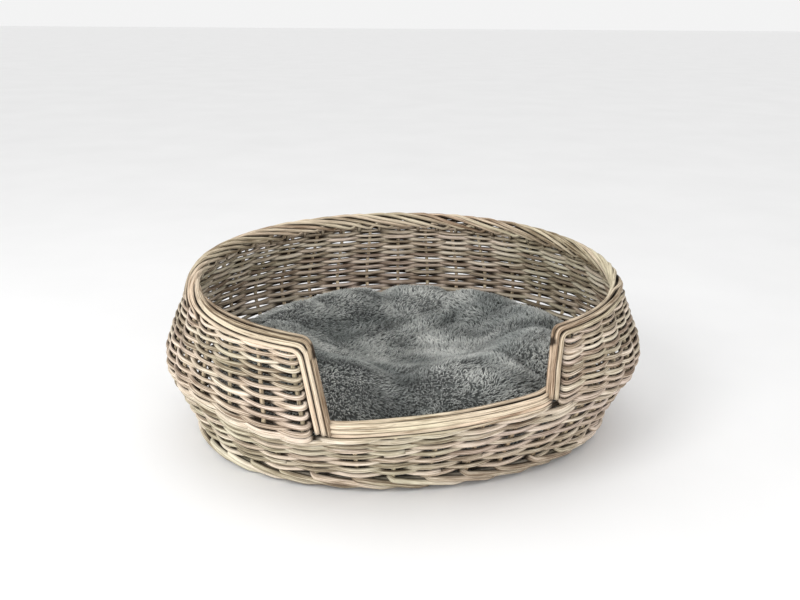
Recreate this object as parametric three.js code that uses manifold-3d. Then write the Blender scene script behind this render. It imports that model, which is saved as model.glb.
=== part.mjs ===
// Wicker pet bed: an oval willow basket with a low entrance in front and a loose plush cushion.
// Millimetres, +Z up, +X to the right, the entrance faces -Y. The origin is on the floor, under the
// centre of the oval.
import * as THREE from 'three';
import { mergeVertices } from 'three/addons/utils/BufferGeometryUtils.js';
import Module from 'manifold-3d';

const wasm = await Module();
wasm.setup();

// Driving dimensions of the wall. Heights along the wall are fractions of HEIGHT.
const HEIGHT = 235.2;            // middle of the rim above the floor
const RIM_TILT = 0.07;           // the rim rises this much per mm towards the back
const OUTLINE = [[0, 292.3], [0.18, 308.6], [0.36, 325.8], [0.55, 340.2], [0.78, 321.2], [1, 300.2]];
const DEPTH_CUT = 36.6;          // half depth is this much less than half width at the rim
const FOOT_CUT = 42.1;           // and this much less again at the foot
const ROUNDNESS = 2 / 2.07;      // the plan is a slightly squared ellipse
const EVEN_SPACING = 0.044;      // evens out the stakes round the oval
const WALL = 18.5;               // one stake with a weaver on each side
const ROUND_STEPS = 48;
const GAP = 0.35;                // between pieces that touch
const LEVEL_GAP = GAP / HEIGHT;

// The entrance: a notch in front, wider at the top, with a post of rods at each side.
const ENTRANCE_X = -11.7;
const ENTRANCE_TOP_HALF = 143.2;
const ENTRANCE_SILL_HALF = 128.9;
const ENTRANCE_TOP_Z = 219;
const SILL_Z = 137.4;            // top of the sill, in the middle of the entrance
const SILL_SLOPE = 0.09;         // the sill rises to the right
const POST_WIDTH = 22;
const FRONT_REACH = 250;         // how far the posts stand in front of the centre
const CUT_REACH = 500;           // cutting solids run past everything

// Bands up the wall, as fractions of HEIGHT.
const FOOT_TOP = 0.09;
const LOWER_TOP = 0.485;
const BORDER_FOOT = 0.885;
const STAKE_FOOT = 0.035;
const STAKE_TOP = 0.94;
const SILL_STAKE_TOP = 0.525;

const STAKE_D = 6.5;
const BACK_STAKES = 32;
const SILL_STAKES = 5;
const END_STAKE_OFFSET = 0.034;  // radians from a post to its nearest stake
const STAKE_SIDES = 6;
const STAKE_STEPS = 6;

// The base: sticks that cross, with rods woven through them.
const BASE_BOTTOM = 2.5;
const BASE_TOP = 20.5;
const BASE_MID = (BASE_BOTTOM + BASE_TOP) / 2;
const LONG_STICKS = 3;
const LONG_STICK = { pitch: 17, width: 10, height: 5 };
const CROSS_STICKS = 7;
const CROSS_STICK = { pitch: 62, width: 12, height: 13 };
const STICK_END = 6;             // from a stick's end to the edge of the base

// The cushion: a plush cover with a raised edge, over its filling.
// Its profile is [share of the half width, height] from the middle of the underside to the middle
// of the top.
const CUSHION_PROFILE = [
  [0, 21.5], [0.86, 21.5], [0.97, 40], [1, 75], [0.98, 112], [0.9, 140], [0.76, 152], [0.6, 145],
  [0.42, 120], [0.2, 101], [0, 96],
];
const CUSHION_CLEARANCE = 7;
const COVER_THICKNESS = 2.5;
const FILLING_INSET = 3;
const SLOT = { width: 300, height: 5, z: 62 };
const PAD_STEPS = 36;

const WILLOW = { color: 0xb5a285, roughness: 0.75, metalness: 0 };
const PALE_WILLOW = { color: 0xcdb48a, roughness: 0.7, metalness: 0 };
const STAKE_WILLOW = { color: 0xa8936f, roughness: 0.75, metalness: 0 };
const PLUSH = { color: 0x7f8785, roughness: 1, metalness: 0 };
const FIBRE = { color: 0xe9e7e2, roughness: 1, metalness: 0 };

const basket = new THREE.Group();
const cushion = new THREE.Group();

// Half width of the outer surface at a height fraction, as a smooth curve through OUTLINE.
function halfWidth(level) {
  const last = OUTLINE.length - 1;
  const i = Math.max(0, OUTLINE.findLastIndex(([h], k) => h <= level && k < last));
  const point = (k) => OUTLINE[Math.min(last, Math.max(0, k))];
  const slope = (k) => (point(k + 1)[1] - point(k - 1)[1]) / (point(k + 1)[0] - point(k - 1)[0]);
  const span = point(i + 1)[0] - point(i)[0];
  const s = (level - point(i)[0]) / span;
  const rise = point(i + 1)[1] - point(i)[1];
  const bend = (slope(i) * span - rise) * (1 - s) + (rise - slope(i + 1) * span) * s;
  return point(i)[1] + rise * s + s * (1 - s) * bend;
}

function power(v) {
  return Math.sign(v) * Math.abs(v) ** ROUNDNESS;
}

// A point of the wall: plan angle, height fraction, and distance inwards from the outer surface.
function wallPoint(angle, level, inwards) {
  const a = halfWidth(level) - inwards;
  const b = a - DEPTH_CUT - FOOT_CUT * (1 - level);
  const y = b * power(Math.sin(angle));
  return new THREE.Vector3(a * power(Math.cos(angle)), y, HEIGHT * level + RIM_TILT * y * level ** 2);
}

// Solids ------------------------------------------------------------------------------------------

function solid(geometry) {
  const bare = geometry.index ? geometry.toNonIndexed() : geometry.clone();
  bare.deleteAttribute('normal');
  bare.deleteAttribute('uv');
  const merged = mergeVertices(bare, 1e-3);
  const triangles = [];
  for (let i = 0; i < merged.index.count; i += 3) {
    const [a, b, c] = [0, 1, 2].map((k) => merged.index.getX(i + k));
    if (a !== b && b !== c && c !== a) triangles.push(a, b, c);
  }
  return new wasm.Manifold(new wasm.Mesh({
    numProp: 3,
    vertProperties: new Float32Array(merged.attributes.position.array),
    triVerts: new Uint32Array(triangles),
  }));
}

function geometryOf(manifold) {
  const mesh = manifold.getMesh();
  const geometry = new THREE.BufferGeometry();
  geometry.setAttribute('position', new THREE.BufferAttribute(mesh.vertProperties, 3));
  geometry.setIndex(new THREE.BufferAttribute(mesh.triVerts, 1));
  geometry.computeVertexNormals();
  return geometry;
}

function addPiece(group, name, shape, finish) {
  const geometry = shape.isBufferGeometry ? shape : geometryOf(shape);
  const mesh = new THREE.Mesh(geometry, new THREE.MeshStandardMaterial(finish));
  mesh.name = name;
  group.add(mesh);
}

// Turns a closed profile of [across, up] points, which goes up on the outside, and
// then moves each point with place(angle, across, up).
function turned(profile, steps, place) {
  const outline = profile.map(([across, up]) => new THREE.Vector2(across, up));
  const geometry = new THREE.LatheGeometry(outline, steps);
  const at = geometry.attributes.position;
  for (let i = 0; i < at.count; i++) {
    const angle = (Math.floor(i / outline.length) % steps) * ((2 * Math.PI) / steps);
    const [across, up] = profile[i % outline.length];
    const p = place(angle, across, up);
    at.setXYZ(i, p.x, p.y, p.z);
  }
  return solid(geometry);
}

// A closed ring of the wall between two height fractions, with rows steps up.
function wallRing(low, high, rows) {
  const profile = [];
  for (let i = 0; i <= rows; i++) profile.push([0, low + ((high - low) * i) / rows]);
  for (let i = rows; i >= 0; i--) profile.push([WALL, low + ((high - low) * i) / rows]);
  profile.push(profile[0]);
  return turned(profile, ROUND_STEPS, (angle, inwards, level) => wallPoint(angle, level, inwards));
}

// A prism that reaches from the middle of the basket out through the front, from [x, z] points.
function frontPrism(outline) {
  const shape = new THREE.Shape(outline.map(([x, z]) => new THREE.Vector2(x, z)));
  const geometry = new THREE.ExtrudeGeometry(shape, { depth: CUT_REACH, bevelEnabled: false });
  geometry.rotateX(Math.PI / 2);
  return solid(geometry);
}

function entranceHalf(z) {
  const share = (z - SILL_Z) / (ENTRANCE_TOP_Z - SILL_Z);
  return ENTRANCE_SILL_HALF + (ENTRANCE_TOP_HALF - ENTRANCE_SILL_HALF) * share;
}

// The entrance notch, with its sides moved out by wider.
function entrancePrism(wider) {
  const foot = entranceHalf(0) + wider;
  const top = entranceHalf(CUT_REACH) + wider;
  return frontPrism([
    [ENTRANCE_X - foot, 0], [ENTRANCE_X + foot, 0],
    [ENTRANCE_X + top, CUT_REACH], [ENTRANCE_X - top, CUT_REACH],
  ]);
}

// Everything left (-1) or right (1) of the entrance's centre line.
function sidePrism(side) {
  const near = Math.min(ENTRANCE_X, ENTRANCE_X + side * CUT_REACH);
  return frontPrism([[near, 0], [near + CUT_REACH, 0], [near + CUT_REACH, CUT_REACH], [near, CUT_REACH]]);
}

function underSillPrism() {
  const top = (x) => SILL_Z + SILL_SLOPE * (x - ENTRANCE_X);
  return frontPrism([
    [-CUT_REACH, 0], [CUT_REACH, 0], [CUT_REACH, top(CUT_REACH)], [-CUT_REACH, top(-CUT_REACH)],
  ]);
}

function box(width, depth, height, x, y, z) {
  return solid(new THREE.BoxGeometry(width, depth, height).translate(x, y, z));
}

// Stakes ------------------------------------------------------------------------------------------

// Plan angle where the wall meets a post's outer edge; below the sill it goes straight down.
function postAngle(side, level) {
  const from = Math.max(level, SILL_Z / HEIGHT);
  const z = HEIGHT * from - RIM_TILT * FRONT_REACH * from ** 2;
  const x = ENTRANCE_X + side * (entranceHalf(z) + POST_WIDTH);
  const across = x / (halfWidth(from) - WALL / 2);
  return -Math.acos(Math.sign(across) * Math.abs(across) ** (1 / ROUNDNESS));
}

// Plan angle of a stake: share 0 to 1 runs from the right post to the left, round the back or
// across the front.
function stakeAngle(share, level, front) {
  const even = (angle) => angle - EVEN_SPACING * Math.sin(2 * angle);
  const right = even(postAngle(1, level)) + (front ? 0 : END_STAKE_OFFSET);
  const left = even(postAngle(-1, level)) + (front ? 0 : 2 * Math.PI - END_STAKE_OFFSET);
  const spread = right + (left - right) * share;
  return spread + EVEN_SPACING * Math.sin(2 * spread);
}

// A rod up the middle of the wall, as a tube that runs on by extra at both ends.
function stakeTube(stake, radius, sides, extra) {
  const rings = [];
  for (let i = 0; i <= STAKE_STEPS; i++) {
    const level = STAKE_FOOT + ((stake.top - STAKE_FOOT) * i) / STAKE_STEPS;
    const angle = stakeAngle(stake.share, level, stake.front);
    const centre = wallPoint(angle, level, WALL / 2);
    const out = wallPoint(angle, level, 0).sub(centre).setZ(0).normalize();
    rings.push({ centre, out, along: new THREE.Vector3(-out.y, out.x, 0) });
  }
  const [foot, next] = rings;
  const [before, top] = rings.slice(-2);
  foot.centre.addScaledVector(foot.centre.clone().sub(next.centre).normalize(), extra);
  top.centre.addScaledVector(top.centre.clone().sub(before.centre).normalize(), extra);

  const geometry = new THREE.CylinderGeometry(radius, radius, STAKE_STEPS, sides, STAKE_STEPS);
  const at = geometry.attributes.position;
  for (let i = 0; i < at.count; i++) {
    const { centre, out, along } = rings[Math.round(at.getY(i) + STAKE_STEPS / 2)];
    const p = centre.clone().addScaledVector(along, at.getX(i)).addScaledVector(out, at.getZ(i));
    at.setXYZ(i, p.x, p.y, p.z);
  }
  return solid(geometry);
}

function allStakes() {
  const stakes = [];
  for (let i = 0; i < BACK_STAKES; i++) {
    stakes.push({ share: i / (BACK_STAKES - 1), top: STAKE_TOP, front: false });
  }
  for (let i = 1; i <= SILL_STAKES; i++) {
    stakes.push({ share: i / (SILL_STAKES + 1), top: SILL_STAKE_TOP, front: true });
  }
  return stakes;
}

// The basket --------------------------------------------------------------------------------------

const stakes = allStakes();
const channelRadius = (STAKE_D / 2 + GAP) * Math.SQRT2;
const channels = stakes.map((stake) => stakeTube(stake, channelRadius, 4, GAP));
const openChannels = wasm.Manifold.union(channels);

stakes.forEach((stake, i) => {
  const name = `stake_${String(i + 1).padStart(2, '0')}`;
  addPiece(basket, name, stakeTube(stake, STAKE_D / 2, STAKE_SIDES, 0), STAKE_WILLOW);
});

const notch = entrancePrism(0);
const notchAndPosts = entrancePrism(POST_WIDTH);
const outsidePosts = entrancePrism(POST_WIDTH + GAP);
const insidePosts = entrancePrism(-GAP);

const footRing = wallRing(0, FOOT_TOP, 1);
addPiece(basket, 'foot_border', footRing.subtract(openChannels), WILLOW);
const lowerRing = wallRing(FOOT_TOP + LEVEL_GAP, LOWER_TOP, 3);
addPiece(basket, 'lower_weave', lowerRing.subtract(openChannels), WILLOW);

const upperRing = wallRing(LOWER_TOP + LEVEL_GAP, BORDER_FOOT, 4);
addPiece(basket, 'upper_weave', upperRing.subtract(outsidePosts).subtract(openChannels), WILLOW);
const posts = upperRing.intersect(notchAndPosts).subtract(notch);
addPiece(basket, 'right_post', posts.intersect(sidePrism(1)), PALE_WILLOW);
addPiece(basket, 'left_post', posts.intersect(sidePrism(-1)), PALE_WILLOW);
const sill = upperRing.intersect(insidePosts).intersect(underSillPrism());
addPiece(basket, 'sill_border', sill.subtract(openChannels), PALE_WILLOW);

const topRing = wallRing(BORDER_FOOT + LEVEL_GAP, 1, 2);
addPiece(basket, 'top_border', topRing.subtract(notch).subtract(openChannels), PALE_WILLOW);

// The base ----------------------------------------------------------------------------------------

const baseHalf = { x: halfWidth(0) - WALL - GAP, y: halfWidth(0) - DEPTH_CUT - FOOT_CUT - WALL - GAP };

function stickPlace(i, count, pitch) {
  return (i - (count - 1) / 2) * pitch;
}

// Sticks, or with spare and a long reach the slots that hold them.
function longStick(i, length, spare) {
  const { pitch, width, height } = LONG_STICK;
  const y = stickPlace(i, LONG_STICKS, pitch);
  return box(length, width + 2 * spare, height + 2 * spare, 0, y, BASE_MID);
}

function crossStick(i, length, spare) {
  const { pitch, width, height } = CROSS_STICK;
  const x = stickPlace(i, CROSS_STICKS, pitch);
  return box(width + 2 * spare, length, height + 2 * spare, x, 0, BASE_MID);
}

let woven = turned(
  [[0, BASE_BOTTOM], [1, BASE_BOTTOM], [1, BASE_TOP], [0, BASE_TOP]],
  ROUND_STEPS,
  (angle, share, z) => new THREE.Vector3(
    share * baseHalf.x * power(Math.cos(angle)), share * baseHalf.y * power(Math.sin(angle)), z,
  ),
);
const longNumbers = Array.from({ length: LONG_STICKS }, (_, i) => i);
const longSlots = wasm.Manifold.union(longNumbers.map((i) => longStick(i, 2 * CUT_REACH, GAP)));
longNumbers.forEach((i) => {
  const stick = longStick(i, 2 * (baseHalf.x - STICK_END), 0);
  addPiece(basket, `base_long_stick_${i + 1}`, stick, STAKE_WILLOW);
});
for (let i = 0; i < CROSS_STICKS; i++) {
  const x = stickPlace(i, CROSS_STICKS, CROSS_STICK.pitch);
  const half = baseHalf.y * Math.sqrt(1 - (x / baseHalf.x) ** 2) - STICK_END;
  const stick = crossStick(i, 2 * half, 0).subtract(longSlots);
  addPiece(basket, `base_cross_stick_${i + 1}`, stick, STAKE_WILLOW);
  woven = woven.subtract(crossStick(i, 2 * CUT_REACH, GAP));
}
addPiece(basket, 'base_weave', woven.subtract(longSlots), WILLOW);

// The cushion -------------------------------------------------------------------------------------

// Half sizes that stay clear of the wall beside it and of the rim above it.
function cushionHalf(z) {
  const level = z / HEIGHT;
  const x = Math.min(halfWidth(level), halfWidth(1));
  const y = Math.min(halfWidth(level) - FOOT_CUT * (1 - level), halfWidth(1)) - DEPTH_CUT;
  return { x: x - WALL - CUSHION_CLEARANCE, y: y - WALL - CUSHION_CLEARANCE };
}

// The cushion's profile moved in by a distance, with its ends kept on the axis.
function insetProfile(inset) {
  const half = cushionHalf(HEIGHT).x;
  return CUSHION_PROFILE.map(([share, z], i, all) => {
    const [before, after] = [all[Math.max(0, i - 1)], all[Math.min(all.length - 1, i + 1)]];
    const way = new THREE.Vector2((after[0] - before[0]) * half, after[1] - before[1]).normalize();
    return [share && share - (way.y * inset) / half, z + way.x * inset];
  });
}

function pad(inset) {
  return turned(insetProfile(inset), PAD_STEPS, (angle, share, z) => {
    const half = cushionHalf(z);
    const [x, y] = [half.x * power(Math.cos(angle)), half.y * power(Math.sin(angle))];
    return new THREE.Vector3(share * x, share * y, z);
  });
}

const backSlot = box(SLOT.width, CUT_REACH, SLOT.height, 0, CUT_REACH / 2 + 100, SLOT.z);
addPiece(cushion, 'cushion_cover', pad(0).subtract(pad(COVER_THICKNESS)).subtract(backSlot), PLUSH);
addPiece(cushion, 'cushion_filling', pad(FILLING_INSET), FIBRE);

const petBed = new THREE.Group();
petBed.add(basket, cushion);

export default petBed;
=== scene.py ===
"""The look of the wicker pet bed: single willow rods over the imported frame, and a plush cushion.

Lengths are in millimetres until a mesh is made. +X right, +Y back, +Z up, the entrance faces -Y.
"""
import math

import bpy
import numpy as np
from mathutils import Matrix, Vector


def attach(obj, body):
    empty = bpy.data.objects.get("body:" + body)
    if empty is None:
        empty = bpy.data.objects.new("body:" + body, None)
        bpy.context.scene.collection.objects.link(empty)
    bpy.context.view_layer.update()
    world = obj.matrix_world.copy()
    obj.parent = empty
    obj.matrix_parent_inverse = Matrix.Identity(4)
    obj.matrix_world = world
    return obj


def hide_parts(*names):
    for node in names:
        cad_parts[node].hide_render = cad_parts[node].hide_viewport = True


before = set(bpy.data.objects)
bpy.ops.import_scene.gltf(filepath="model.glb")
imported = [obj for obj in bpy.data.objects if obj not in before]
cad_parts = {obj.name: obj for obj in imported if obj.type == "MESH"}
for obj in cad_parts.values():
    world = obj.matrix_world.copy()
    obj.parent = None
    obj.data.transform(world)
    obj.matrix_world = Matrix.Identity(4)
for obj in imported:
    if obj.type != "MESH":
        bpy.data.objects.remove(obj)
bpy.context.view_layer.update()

MM = 0.001
rng = np.random.default_rng(7)

# Camera ------------------------------------------------------------------------------------------

CAMERA_AZIMUTH = math.radians(-11.2)
CAMERA_ELEVATION = math.radians(18.7)
CAMERA_DISTANCE = 1.228
CAMERA_ROLL = math.radians(0.61)
CAMERA_TARGET = (-0.0087, 0.0017, 0.1818)
CAMERA_LENS = 38.33
SENSOR = 36.0


def make_camera():
    away = Vector((
        math.sin(CAMERA_AZIMUTH) * math.cos(CAMERA_ELEVATION),
        -math.cos(CAMERA_AZIMUTH) * math.cos(CAMERA_ELEVATION),
        math.sin(CAMERA_ELEVATION),
    ))
    data = bpy.data.cameras.new("camera")
    data.lens = CAMERA_LENS
    data.sensor_width = SENSOR
    camera = bpy.data.objects.new("camera", data)
    bpy.context.scene.collection.objects.link(camera)
    turn = away.to_track_quat("Z", "Y").to_matrix().to_4x4() @ Matrix.Rotation(CAMERA_ROLL, 4, "Z")
    camera.matrix_world = Matrix.Translation(Vector(CAMERA_TARGET) + away * CAMERA_DISTANCE) @ turn
    bpy.context.scene.camera = camera


make_camera()

# The wall's shape, as in the CAD source ----------------------------------------------------------

HEIGHT = 235.2
RIM_TILT = 0.07                    # the rim rises towards the back
# Height fraction and half width of the outer surface.
OUTLINE = np.array([[0, 292.3], [0.18, 308.6], [0.36, 325.8], [0.55, 340.2], [0.78, 321.2], [1, 300.2]])
DEPTH_CUT = 36.6                   # how much less the half depth is than the half width
FOOT_CUT = 42.1                    # and how much less still at the foot
ROUNDNESS = 2 / 2.07
EVEN_SPACING = 0.044               # shifts plan angles so that stakes stand evenly along the oval
WALL = 18.5
ENTRANCE_X = -11.7
ENTRANCE_TOP_HALF = 143.2
ENTRANCE_SILL_HALF = 128.9
ENTRANCE_TOP_Z = 219
SILL_Z = 137.4
SILL_SLOPE = 0.09
POST_WIDTH = 22
FRONT_REACH = 250                  # about how far the front wall is from the middle
END_STAKE_OFFSET = 0.034           # plan angle between a post and the first stake beside it
BACK_STAKES = 32
SILL_STAKES = 5
STAKES = BACK_STAKES + SILL_STAKES
STAKE_D = 6.5
SWING = 4.3                        # how far a weaver's middle swings from the middle of the wall


def half_width(level):
    level = np.clip(np.asarray(level, float), -0.02, 1.05)
    h, w = OUTLINE.T
    wide = np.pad(OUTLINE, ((1, 1), (0, 0)), mode="edge")
    slope = (wide[2:, 1] - wide[:-2, 1]) / (wide[2:, 0] - wide[:-2, 0])
    i = np.clip(np.searchsorted(h, level, side="right") - 1, 0, len(h) - 2)
    span = h[i + 1] - h[i]
    rise = w[i + 1] - w[i]
    s = (level - h[i]) / span
    bend = (slope[i] * span - rise) * (1 - s) + (rise - slope[i + 1] * span) * s
    return w[i] + rise * s + s * (1 - s) * bend


def power(v):
    return np.sign(v) * np.abs(v) ** ROUNDNESS


def wall(angle, level, inwards):
    """Points of the wall: plan angle, height fraction, distance inwards from the outer surface."""
    angle, level, inwards = np.broadcast_arrays(
        np.asarray(angle, float), np.asarray(level, float), np.asarray(inwards, float))
    a = half_width(level) - inwards
    b = a - DEPTH_CUT - FOOT_CUT * (1 - level)
    y = b * power(np.sin(angle))
    z = HEIGHT * level + RIM_TILT * y * np.clip(level, 0, 2) ** 2
    return np.stack([a * power(np.cos(angle)), y, z], -1)


def entrance_half(z):
    share = (z - SILL_Z) / (ENTRANCE_TOP_Z - SILL_Z)
    return ENTRANCE_SILL_HALF + (ENTRANCE_TOP_HALF - ENTRANCE_SILL_HALF) * share


def front_angle(x, level, inwards):
    """Plan angle of the front wall at a given x."""
    across = np.clip(x / (half_width(level) - inwards), -1, 1)
    return -np.arccos(np.sign(across) * np.abs(across) ** (1 / ROUNDNESS))


def post_angle(side, level):
    start = np.maximum(level, SILL_Z / HEIGHT)
    z = HEIGHT * start - RIM_TILT * FRONT_REACH * start ** 2
    x = ENTRANCE_X + side * (entrance_half(z) + POST_WIDTH)
    return front_angle(x, start, WALL / 2)


def stake_angle(u, level):
    """Plan angle of stake number u, counted from the right post round the back; u may lie between."""
    u, level = np.broadcast_arrays(np.asarray(u, float), np.asarray(level, float))

    def even(angle):
        return angle - EVEN_SPACING * np.sin(2 * angle)

    turn, u = np.divmod(u, STAKES)
    right, left = even(post_angle(1, level)), even(post_angle(-1, level)) + 2 * math.pi
    first, last = right + END_STAKE_OFFSET, left - END_STAKE_OFFSET
    bays = BACK_STAKES - 1
    back = first + (last - first) * u / bays
    front_step = (right + 2 * math.pi - left) / (SILL_STAKES + 1)
    k = u - bays
    front = np.where(
        k < 1, last + (left + front_step - last) * k,
        np.where(k < SILL_STAKES, left + front_step * k,
                 left + front_step * SILL_STAKES
                 + (front_step + END_STAKE_OFFSET) * (k - SILL_STAKES)))
    spread = np.where(u <= bays, back, front)
    return spread + EVEN_SPACING * np.sin(2 * spread) + turn * 2 * math.pi


WARP_REACH = 2.3                   # in half widths of the entrance
WARP_LEVELS = (0.08, 0.55, 0.85)   # the warp is full at the middle one and none at the others
WARP_FADE = 120


def sill_warp(points, level):
    """Rows in front run parallel to the sloping sill, and level out to the sides."""
    across = points[:, 0] - ENTRANCE_X
    near = np.clip((ENTRANCE_SILL_HALF * WARP_REACH - np.abs(across)) / ENTRANCE_SILL_HALF, 0, 1)
    up = np.interp(level, WARP_LEVELS, (0, 1, 0))
    front = np.clip(-points[:, 1] / WARP_FADE, 0, 1)
    points[:, 2] += SILL_SLOPE * across * near * near * (3 - 2 * near) * up * front
    return points


# Rods --------------------------------------------------------------------------------------------

LONG_LUMP = 38.0                   # lengths of the swellings along a rod
SHORT_LUMP = 9.0
END_SHADE = 6.0                    # length over which a rod darkens to its cut end, and by how much
END_DARK = 0.35
# The least painted light, for the darkest painted shade between rods.
LEAST_PAINTED_LIGHT = 0.03
CAP_DOME = 0.15
CAP_CLEAN = 0.45


class Rods:
    """Gathers tubes into one mesh, with the grain's direction and a tone for each rod.

    The tone's alpha is painted light and shade: 1 on lit open wood, near 0 for the painted shade in the gaps;
    it is also lower towards cut ends and at the pith.
    """

    def __init__(self):
        self.verts, self.faces, self.grain, self.tone = [], [], [], []
        self.count = 0

    def add(self, points, radius, sides=10, tall=1.0, clean=None, lumps=0.05):
        """The clean function gives the painted light and shade around each point, from the points and their
        rings' directions.
        """
        points = np.asarray(points, float)
        total = len(points)
        radius = np.broadcast_to(np.asarray(radius, float), (total,)).copy()
        step = np.linalg.norm(np.diff(points, axis=0), axis=1)
        along = np.concatenate([[0], np.cumsum(step)])
        radius *= 1 + lumps * smooth_noise(along / LONG_LUMP) + 0.5 * lumps * smooth_noise(along / SHORT_LUMP)
        tangent = np.gradient(points, axis=0)
        tangent /= np.linalg.norm(tangent, axis=1)[:, None]
        upright = abs(tangent[0][2]) > 0.9
        normal = np.cross(tangent[0], (0.0, 1.0, 0.2) if upright else (0.0, 0.0, 1.0))
        frames = []
        for t in tangent:
            normal = normal - t * np.dot(normal, t)
            normal /= math.sqrt(normal @ normal)
            frames.append(normal)
        normal = np.array(frames)
        other = np.cross(tangent, normal)
        turn = np.linspace(0, 2 * math.pi, sides, endpoint=False)
        ring = (np.cos(turn)[None, :, None] * normal[:, None] / math.sqrt(tall)
                + np.sin(turn)[None, :, None] * other[:, None] * math.sqrt(tall))
        body = points[:, None] + ring * radius[:, None, None]
        tone = rng.random(3)
        shift = rng.random() * 900
        grain = np.empty((total, sides, 3))
        grain[..., 0] = along[:, None] + shift
        grain[..., 1] = np.cos(turn) * radius.mean() + shift
        grain[..., 2] = np.sin(turn) * radius.mean()
        ends = np.minimum(along, along[-1] - along)
        dark = np.clip(1 - ends / END_SHADE, 0, 1) * END_DARK
        first = self.count
        index = first + np.arange(total * sides).reshape(total, sides)
        beside = np.roll(index, -1, 1)
        quads = np.stack([index[:-1], beside[:-1], beside[1:], index[1:]], -1)
        self.faces.append(quads.reshape(-1, 4))
        self.verts.append(body.reshape(-1, 3))
        self.grain.append(grain.reshape(-1, 3))
        colour = np.empty((total, sides, 4))
        colour[..., :3] = tone
        colour[..., 3] = 1 - dark[:, None]
        # Painted shade: the alpha is lowered where the rod faces into the gaps or lies behind others.
        if clean is not None:
            colour[..., 3] *= np.clip(clean(points, ring), LEAST_PAINTED_LIGHT, 1)
        self.tone.append(colour.reshape(-1, 4))
        self.count += total * sides
        self._cap(points[0], -tangent[0], index[0][::-1], radius[0], tone, shift)
        self._cap(points[-1], tangent[-1], index[-1], radius[-1], tone, shift)

    def _cap(self, centre, way, rim, radius, tone, shift):
        """A slightly domed end, darker in the middle where the pith shows."""
        tip = self.count
        self.verts.append((centre + way * radius * CAP_DOME)[None])
        self.grain.append(np.array([[shift, shift, 0]]))
        self.tone.append(np.array([[*tone, CAP_CLEAN]]))
        self.count += 1
        beside = np.roll(rim, -1)
        tips = np.full_like(rim, tip)
        self.faces.append(np.stack([rim, beside, tips, tips], -1))

    def build(self, name, body, material, node=None):
        verts = np.concatenate(self.verts) * MM
        faces = [f if f[2] != f[3] else f[:3] for f in np.concatenate(self.faces).tolist()]
        mesh = bpy.data.meshes.new(name)
        mesh.from_pydata(verts.tolist(), [], faces)
        grain = mesh.attributes.new("grain", "FLOAT_VECTOR", "POINT")
        grain.data.foreach_set("vector", (np.concatenate(self.grain) * MM).ravel())
        tone = mesh.attributes.new("tone", "FLOAT_COLOR", "POINT")
        tone.data.foreach_set("color", np.concatenate(self.tone).ravel())
        mesh.polygons.foreach_set("use_smooth", np.ones(len(mesh.polygons), bool))
        mesh.validate()
        mesh.materials.append(material)
        obj = bpy.data.objects.new(name, mesh)
        bpy.context.scene.collection.objects.link(obj)
        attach(obj, body)
        if node:
            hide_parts(*([node] if isinstance(node, str) else node))


PLAN_HALF = np.array([340, 290])   # half width and half depth of the oval, for the way outwards
SIDE_SHADE = (1.05, 1.7)           # how fast a weaver darkens as it passes behind the others
# Painted light on the weavers' outer and inner faces.
OUTSIDE_PAINTED_LIGHT = 1.9
INSIDE_PAINTED_LIGHT = 1.1
CORE_SHADE = (0.1, 1.5)


def painted_light_on_both_sides(outwards):
    """Painted light for weavers: lit where they show, and painted shade between the rows and where one lies
    behind the others.
    """

    def clean(points, ring):
        out = points[:, :2] / PLAN_HALF ** 2
        out /= np.linalg.norm(out, axis=1)[:, None]
        facing = (ring[..., :2] * out[:, None]).sum(-1)
        place = outwards[:, None] / SWING
        level, speed = SIDE_SHADE
        outside = np.clip(facing, 0, 1) * np.clip(level + speed * place, 0, 1)
        inside = np.clip(-facing, 0, 1) * np.clip(level - speed * place, 0, 1)
        return OUTSIDE_PAINTED_LIGHT * outside + INSIDE_PAINTED_LIGHT * inside

    return clean


def painted_light_away_from(core):
    """Painted light for border rods: lit on the side away from the border's core, and painted shade where
    they touch.
    """

    def clean(points, ring):
        apart = np.linalg.norm(points[:, None] - core[None], axis=-1)
        away = points - core[np.argmin(apart, axis=1)]
        away /= np.linalg.norm(away, axis=1)[:, None]
        return CORE_SHADE[0] + CORE_SHADE[1] * (ring * away[:, None]).sum(-1)

    return clean


def smooth_noise(x):
    """Smooth noise of about -1 to 1 along x, from random values one unit apart."""
    x = np.asarray(x, float)
    low = math.floor(x.min()) - 1
    values = rng.uniform(-1, 1, int(x.max() - low) + 4)
    i = np.floor(x).astype(int) - low
    s = x - np.floor(x)
    s = s * s * (3 - 2 * s)
    return values[i] * (1 - s) + values[i + 1] * s


def resample(points, spacing):
    points = np.asarray(points, float)
    step = np.linalg.norm(np.diff(points, axis=0), axis=1)
    along = np.concatenate([[0], np.cumsum(step)])
    at = np.linspace(0, along[-1], max(3, int(along[-1] / spacing) + 1))
    return np.stack([np.interp(at, along, points[:, k]) for k in range(3)], -1)


def soften(points, rounds):
    """Rounds the corners of a line of points, and keeps its ends."""
    for _ in range(rounds):
        middle = (points[:-2] + 2 * points[1:-1] + points[2:]) / 4
        points = np.concatenate([points[:1], middle, points[-1:]])
    return points


# Willow ------------------------------------------------------------------------------------------

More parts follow.
